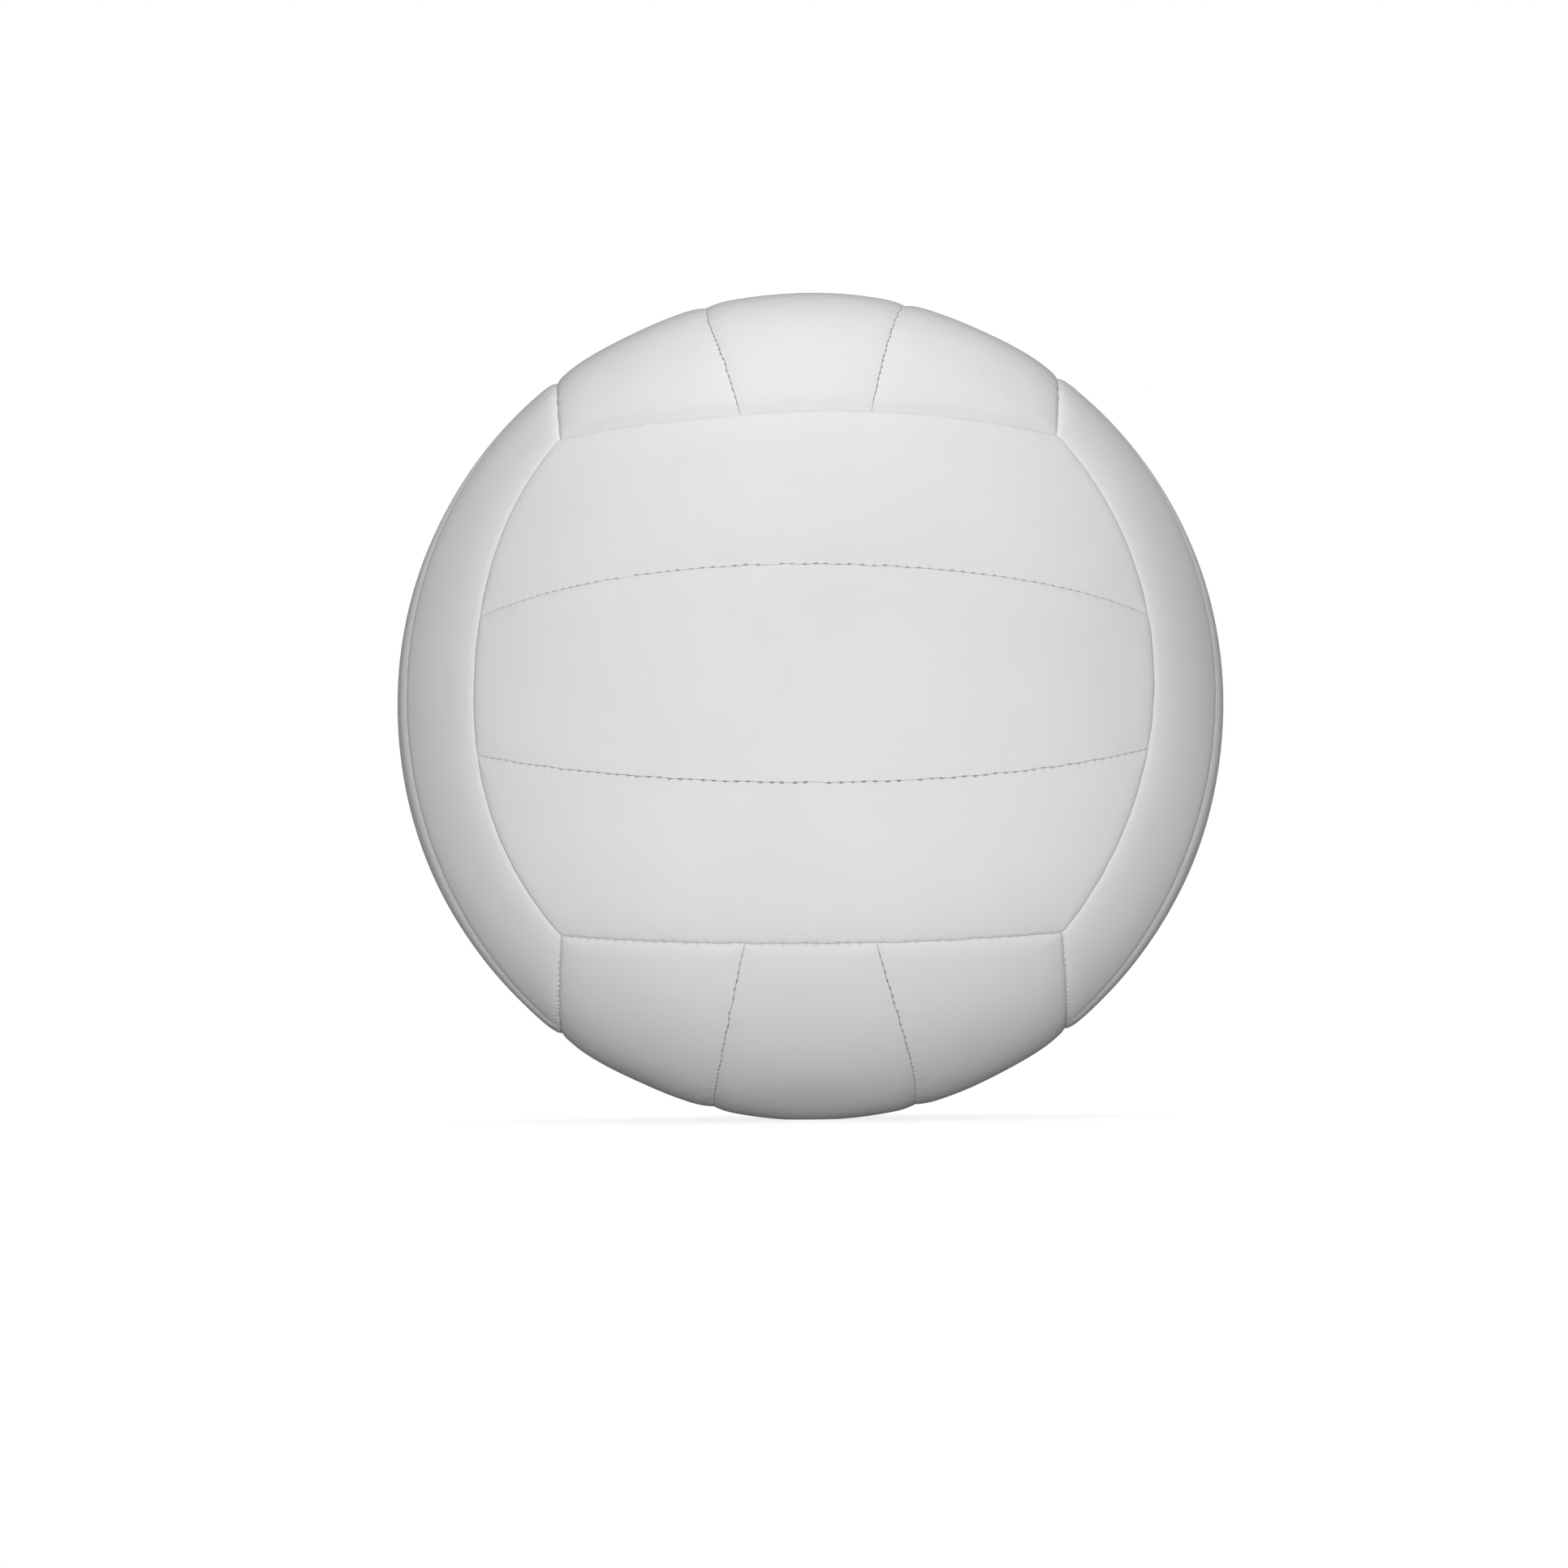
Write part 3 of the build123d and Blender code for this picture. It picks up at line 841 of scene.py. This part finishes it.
def leather_finish():
    # grained leather under a thin matt lacquer, which darkens where it is looked at on a slant
    finish, tree, shader = finish_named("white_leather")
    colour = place_group(tree, BLOTCH, Light=LEATHER_WHITE, Dark=LEATHER_SHADE, Per_metre=30.0)
    grain = place_group(tree, GRAIN, Per_metre=1700.0, Smooth=0.5)
    tree.links.new(colour.outputs["Colour"], shader.inputs["Base Color"])
    tree.links.new(spread_roughness(tree, grain.outputs["Gloss"], 0.55, 0.68), shader.inputs["Roughness"])
    tree.links.new(bump(tree, grain.outputs["Height"], 0.03 * MM, 0.25), shader.inputs["Normal"])
    shader.inputs["Specular IOR Level"].default_value = 0.04
    shader.inputs["Diffuse Roughness"].default_value = 0.5
    shader.inputs["Coat Weight"].default_value = 1.0
    shader.inputs["Coat IOR"].default_value = 1.01
    shader.inputs["Coat Roughness"].default_value = 1.0
    shader.inputs["Coat Tint"].default_value = LACQUER
    return finish


leather = leather_finish()
for number, (group, (_, _, strips)) in enumerate(GROUPS.items()):
    for side, strip in zip((-1, 0, 1), strips):
        valve_panel = group == "back" and side == 0
        seed = 100 * number + 40 * side + 50
        cover = cover_piece(f"{group}_{strip}_cover", side, group, leather, valve_panel, seed)
        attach(cover, "ball")
        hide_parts(f"{group}_{strip}_panel")

# Stitching: waxed white polyester thread on the inside of the turned-in edges. Along each edge it runs
# behind the leather and dives through it at every stitch, to lock with the neighbour's thread in the
# seam.
THREAD_RADIUS = 0.22 * MM
THREAD_END_ROOM = 3.2 * MM
THREAD_WHITE = (0.74, 0.72, 0.67, 1)
THREAD_SHADE = (0.6, 0.58, 0.53, 1)
# places of the thread round one stitch: along the seam, in from its middle, distance from the ball's centre
STITCH_PATH = np.array(
    ((-0.75, 1.48, 102.4), (-0.3, 1.2, 102.5), (0.0, 0.15, 102.6), (0.3, 1.2, 102.5), (0.75, 1.48, 102.4))
)


def thread_lines(seams, turn, lengths):
    # the middle line of the thread along each edge of a panel
    lines = []
    for (axis, middle, along, ring, inside), length in zip(seams, lengths):
        offsets, _ = seam_stitches(turn @ axis)
        stitches = (np.arange(-STITCH_ROOM, STITCH_ROOM) + 0.5) * STITCH_PITCH + offsets
        stitches = stitches[np.abs(stitches) < length / 2 - THREAD_END_ROOM]
        path = (STITCH_PATH * MM)[None] + np.stack([stitches, 0 * stitches, 0 * stitches], 1)[:, None]
        arc, inset, radius = path.reshape(-1, 3).T
        tip = ring - inside * inset / BALL_RADIUS
        spin = seam_way(turn, along) * arc / (BALL_RADIUS * sin(ring))
        spoke = np.cos(spin)[:, None] * middle + np.sin(spin)[:, None] * along
        lines.append(radius[:, None] * (np.cos(tip)[:, None] * axis + np.sin(tip)[:, None] * spoke))
    return lines


def thread_tube(skin, line, sides=6):
    # a round tube along the line, closed at both ends
    forward = np.gradient(line, axis=0)
    forward /= np.linalg.norm(forward, axis=1)[:, None]
    outward = line / np.linalg.norm(line, axis=1)[:, None]
    across = np.cross(forward, outward)
    across /= np.linalg.norm(across, axis=1)[:, None]
    rise = np.cross(across, forward)
    rings = []
    for place, one, two in zip(line, across, rise):
        turns = np.linspace(0, 2 * pi, sides, endpoint=False)[:, None]
        rings.append(skin.row(place + THREAD_RADIUS * (np.cos(turns) * one + np.sin(turns) * two)))
    for first, second in zip(rings, rings[1:]):
        skin.lace(first, second)
    skin.faces += [list(rings[0]), list(rings[-1][::-1])]


def edge_lengths(side):
    # length of a panel's four seams, from corner to corner
    corners = panel_net(side, np.array([-1, -1, 1, 1.0]), np.array([-1, 1, -1, 1.0]), 0, 0)
    ends = ((0, 1), (2, 3), (0, 2), (1, 3))
    if side < 0:
        ends = ((2, 3), (0, 1), (1, 3), (0, 2))
    lengths = []
    for (_, middle, along, ring, _), (first, last) in zip(panel_seams(side), ends):
        spins = [atan2(corners[i] @ along, corners[i] @ middle) for i in (first, last)]
        lengths.append(abs(spins[1] - spins[0]) * BALL_RADIUS * sin(ring))
    return lengths


def thread_finish():
    finish, tree, shader = finish_named("waxed_thread")
    colour = place_group(tree, BLOTCH, Light=THREAD_WHITE, Dark=THREAD_SHADE, Per_metre=600.0)
    twist = place_group(tree, WEAVE, Per_metre=9000.0)
    tree.links.new(colour.outputs["Colour"], shader.inputs["Base Color"])
    tree.links.new(spread_roughness(tree, twist.outputs["Mask"], 0.5, 0.75), shader.inputs["Roughness"])
    tree.links.new(bump(tree, twist.outputs["Height"], 0.05 * MM, 0.6), shader.inputs["Normal"])
    return finish


waxed_thread = thread_finish()
for group in GROUPS:
    threads = Skin()
    for side in (-1, 0, 1):
        for line in thread_lines(panel_seams(side), group_turn(group), edge_lengths(side)):
            thread_tube(threads, line)
    stitching = threads.made(f"{group}_stitching", group, waxed_thread)
    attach(stitching, "ball")
    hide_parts(f"{group}_seam_thread")

# Valve plug: a moulded rubber insert pressed into the neck, which can be pulled out and replaced. The
# needle goes in through a hole from the top, and the closed rubber below the hole grips it and keeps the
# air in.
PLUG_RADIUS = 3 * MM
PLUG_TOP = 103.9 * MM
PLUG_BOTTOM = 83.9 * MM
HEAD_RADIUS = 4 * MM
HEAD_BOTTOM = 102.7 * MM
NEEDLE_RADIUS = 0.9 * MM
NEEDLE_BOTTOM = 89.9 * MM
NEEDLE_LEAD = 0.5 * MM
NEEDLE_TIP = 0.4 * MM
PLUG_BLACK = (0.024, 0.024, 0.025, 1)
PLUG_BLOOM = (0.05, 0.049, 0.048, 1)

plug_outline = (
    [(0.0, PLUG_BOTTOM)]
    + rounded((PLUG_RADIUS, PLUG_BOTTOM), OUT, UP, 2 * LIP_ROUND)
    + [(PLUG_RADIUS, HEAD_BOTTOM)]
    + rounded((HEAD_RADIUS, HEAD_BOTTOM), OUT, UP, 0.3 * LIP_ROUND)
    + rounded((HEAD_RADIUS, PLUG_TOP), UP, IN, LIP_ROUND)
    + rounded((NEEDLE_RADIUS, PLUG_TOP), IN, DOWN, NEEDLE_LEAD, 6)
    + [(NEEDLE_RADIUS, NEEDLE_BOTTOM + NEEDLE_TIP), (0.5 * NEEDLE_RADIUS, NEEDLE_BOTTOM)]
    + [(0.0, NEEDLE_BOTTOM)]
)
plug_rubber = rubber("insert_rubber", PLUG_BLACK, PLUG_BLOOM, 0.4, 0.55)
valve_insert = turned("valve_insert", plug_outline, VALVE_SIDES, plug_rubber)
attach(valve_insert, "valve_plug")
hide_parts("valve_plug")

# Stage: a white floor under the ball, which takes its shadow, and soft lamps above, in front and behind.
# The camera stands low in front of the ball, at the photograph's viewing angle.
FLOOR_HALF = 4.0
FLOOR_LEVEL = -104.7 * MM
FLOOR_WHITE = (1.0, 1.0, 1.0, 1)
FLOOR_BOUNCE = (0.5, 0.5, 0.5, 1)
FLOOR_FADE = (0.05, 0.15)
FLOOR_LIFT = 0.56
WORLD_GREY = (0.01, 0.01, 0.01, 1)
CAMERA_DISTANCE = 1.0127
CAMERA_TURN = radians(-0.14)
CAMERA_RISE = radians(-4.93)
CAMERA_ROLL = radians(-0.57)
CAMERA_LENS = 91.15
CAMERA_SHIFT = (-0.0168, -0.0495)


def seen_share(tree):
    # 1 where the camera looks, straight or by way of a mirror or a glass
    path = node(tree, "ShaderNodeLightPath")
    first = node(tree, "ShaderNodeMath", operation="MAXIMUM")
    second = node(tree, "ShaderNodeMath", operation="MAXIMUM")
    tree.links.new(path.outputs["Is Camera Ray"], first.inputs[0])
    tree.links.new(path.outputs["Is Glossy Ray"], first.inputs[1])
    tree.links.new(first.outputs["Value"], second.inputs[0])
    tree.links.new(path.outputs["Is Transmission Ray"], second.inputs[1])
    return second.outputs["Value"]


def floor_finish():
    # matt white paint with the ball's shadow in it, which goes over to plain white ground away from the
    # ball
    finish = bpy.data.materials.new("studio_floor")
    finish.use_nodes = True
    tree = finish.node_tree
    tree.nodes.clear()
    place = node(tree, "ShaderNodeTexCoord")
    reach = node(tree, "ShaderNodeVectorMath", operation="LENGTH")
    far = node(tree, "ShaderNodeMapRange", interpolation_type="SMOOTHSTEP")
    far.inputs["From Min"].default_value = FLOOR_FADE[0]
    far.inputs["From Max"].default_value = FLOOR_FADE[1]
    shown = node(tree, "ShaderNodeMix", data_type="RGBA")
    shown.inputs["A"].default_value = FLOOR_WHITE
    shown.inputs["B"].default_value = (0, 0, 0, 1)
    shade = node(tree, "ShaderNodeMix", data_type="RGBA")
    shade.inputs["A"].default_value = FLOOR_BOUNCE
    lift = node(tree, "ShaderNodeMapRange")
    lift.inputs["To Min"].default_value = FLOOR_LIFT
    lifted = node(tree, "ShaderNodeMath", operation="MULTIPLY")
    paint = node(tree, "ShaderNodeBsdfDiffuse")
    ground = node(tree, "ShaderNodeEmission")
    both = node(tree, "ShaderNodeAddShader")
    out = node(tree, "ShaderNodeOutputMaterial")
    seen = seen_share(tree)
    tree.links.new(place.outputs["Object"], reach.inputs[0])
    tree.links.new(reach.outputs["Value"], far.inputs["Value"])
    tree.links.new(far.outputs["Result"], shown.inputs["Factor"])
    tree.links.new(seen, shade.inputs["Factor"])
    tree.links.new(shown.outputs["Result"], shade.inputs["B"])
    tree.links.new(far.outputs["Result"], lift.inputs["Value"])
    tree.links.new(seen, lifted.inputs[0])
    tree.links.new(lift.outputs["Result"], lifted.inputs[1])
    tree.links.new(shade.outputs["Result"], paint.inputs["Color"])
    tree.links.new(lifted.outputs["Value"], ground.inputs["Color"])
    tree.links.new(paint.outputs["BSDF"], both.inputs[0])
    tree.links.new(ground.outputs["Emission"], both.inputs[1])
    tree.links.new(both.outputs["Shader"], out.inputs["Surface"])
    return finish


corners = [(x * FLOOR_HALF, y * FLOOR_HALF, FLOOR_LEVEL) for x, y in ((-1, -1), (1, -1), (1, 1), (-1, 1))]
floor = mesh_piece("floor", corners, [(0, 1, 2, 3)], floor_finish())

world = bpy.data.worlds.new("studio")
bpy.context.scene.world = world
world.use_nodes = True
sky = world.node_tree
sky.nodes.clear()
glow = node(sky, "ShaderNodeBackground")
backdrop = node(sky, "ShaderNodeMix", data_type="RGBA")
backdrop.inputs["A"].default_value = WORLD_GREY
backdrop.inputs["B"].default_value = (1, 1, 1, 1)
world_out = node(sky, "ShaderNodeOutputWorld")
sky.links.new(seen_share(sky), backdrop.inputs["Factor"])
sky.links.new(backdrop.outputs["Result"], glow.inputs["Color"])
sky.links.new(glow.outputs["Background"], world_out.inputs["Surface"])


def softbox(name, place, size, power):
    lamp = bpy.data.lights.new(name, "AREA")
    lamp.shape = "RECTANGLE"
    lamp.size, lamp.size_y = size
    lamp.energy = power
    box = bpy.data.objects.new(name, lamp)
    box.location = place
    box.rotation_euler = (-Vector(place)).to_track_quat("-Z", "Y").to_euler()
    box.visible_camera = False
    bpy.context.scene.collection.objects.link(box)


softbox("top_light", (0, 0, 0.9), (0.6, 0.6), 5.8)
softbox("top_rear_light", (0, 0.3, 0.85), (0.5, 0.4), 4.4)
softbox("front_light", (0, -2.4, 0.0), (0.8, 0.2), 46.0)
softbox("rear_left_light", (-1.6, 2.4, 0.5), (0.6, 0.9), 12.5)
softbox("rear_right_light", (1.1, 2.7, 0.5), (0.6, 0.9), 12.5)

lens = bpy.data.cameras.new("camera")
lens.lens = CAMERA_LENS
lens.sensor_width = 36
lens.shift_x, lens.shift_y = CAMERA_SHIFT
lens.clip_start, lens.clip_end = 0.05, 50
camera = bpy.data.objects.new("camera", lens)
back = Vector((sin(CAMERA_TURN) * cos(CAMERA_RISE), -cos(CAMERA_TURN) * cos(CAMERA_RISE), sin(CAMERA_RISE)))
camera.location = back * CAMERA_DISTANCE
aim = (-back).to_track_quat("-Z", "Y").to_matrix() @ Matrix.Rotation(CAMERA_ROLL, 3, "Z")
camera.rotation_euler = aim.to_euler()
bpy.context.scene.collection.objects.link(camera)
bpy.context.scene.camera = camera

bpy.context.scene.view_settings.view_transform = "Standard"
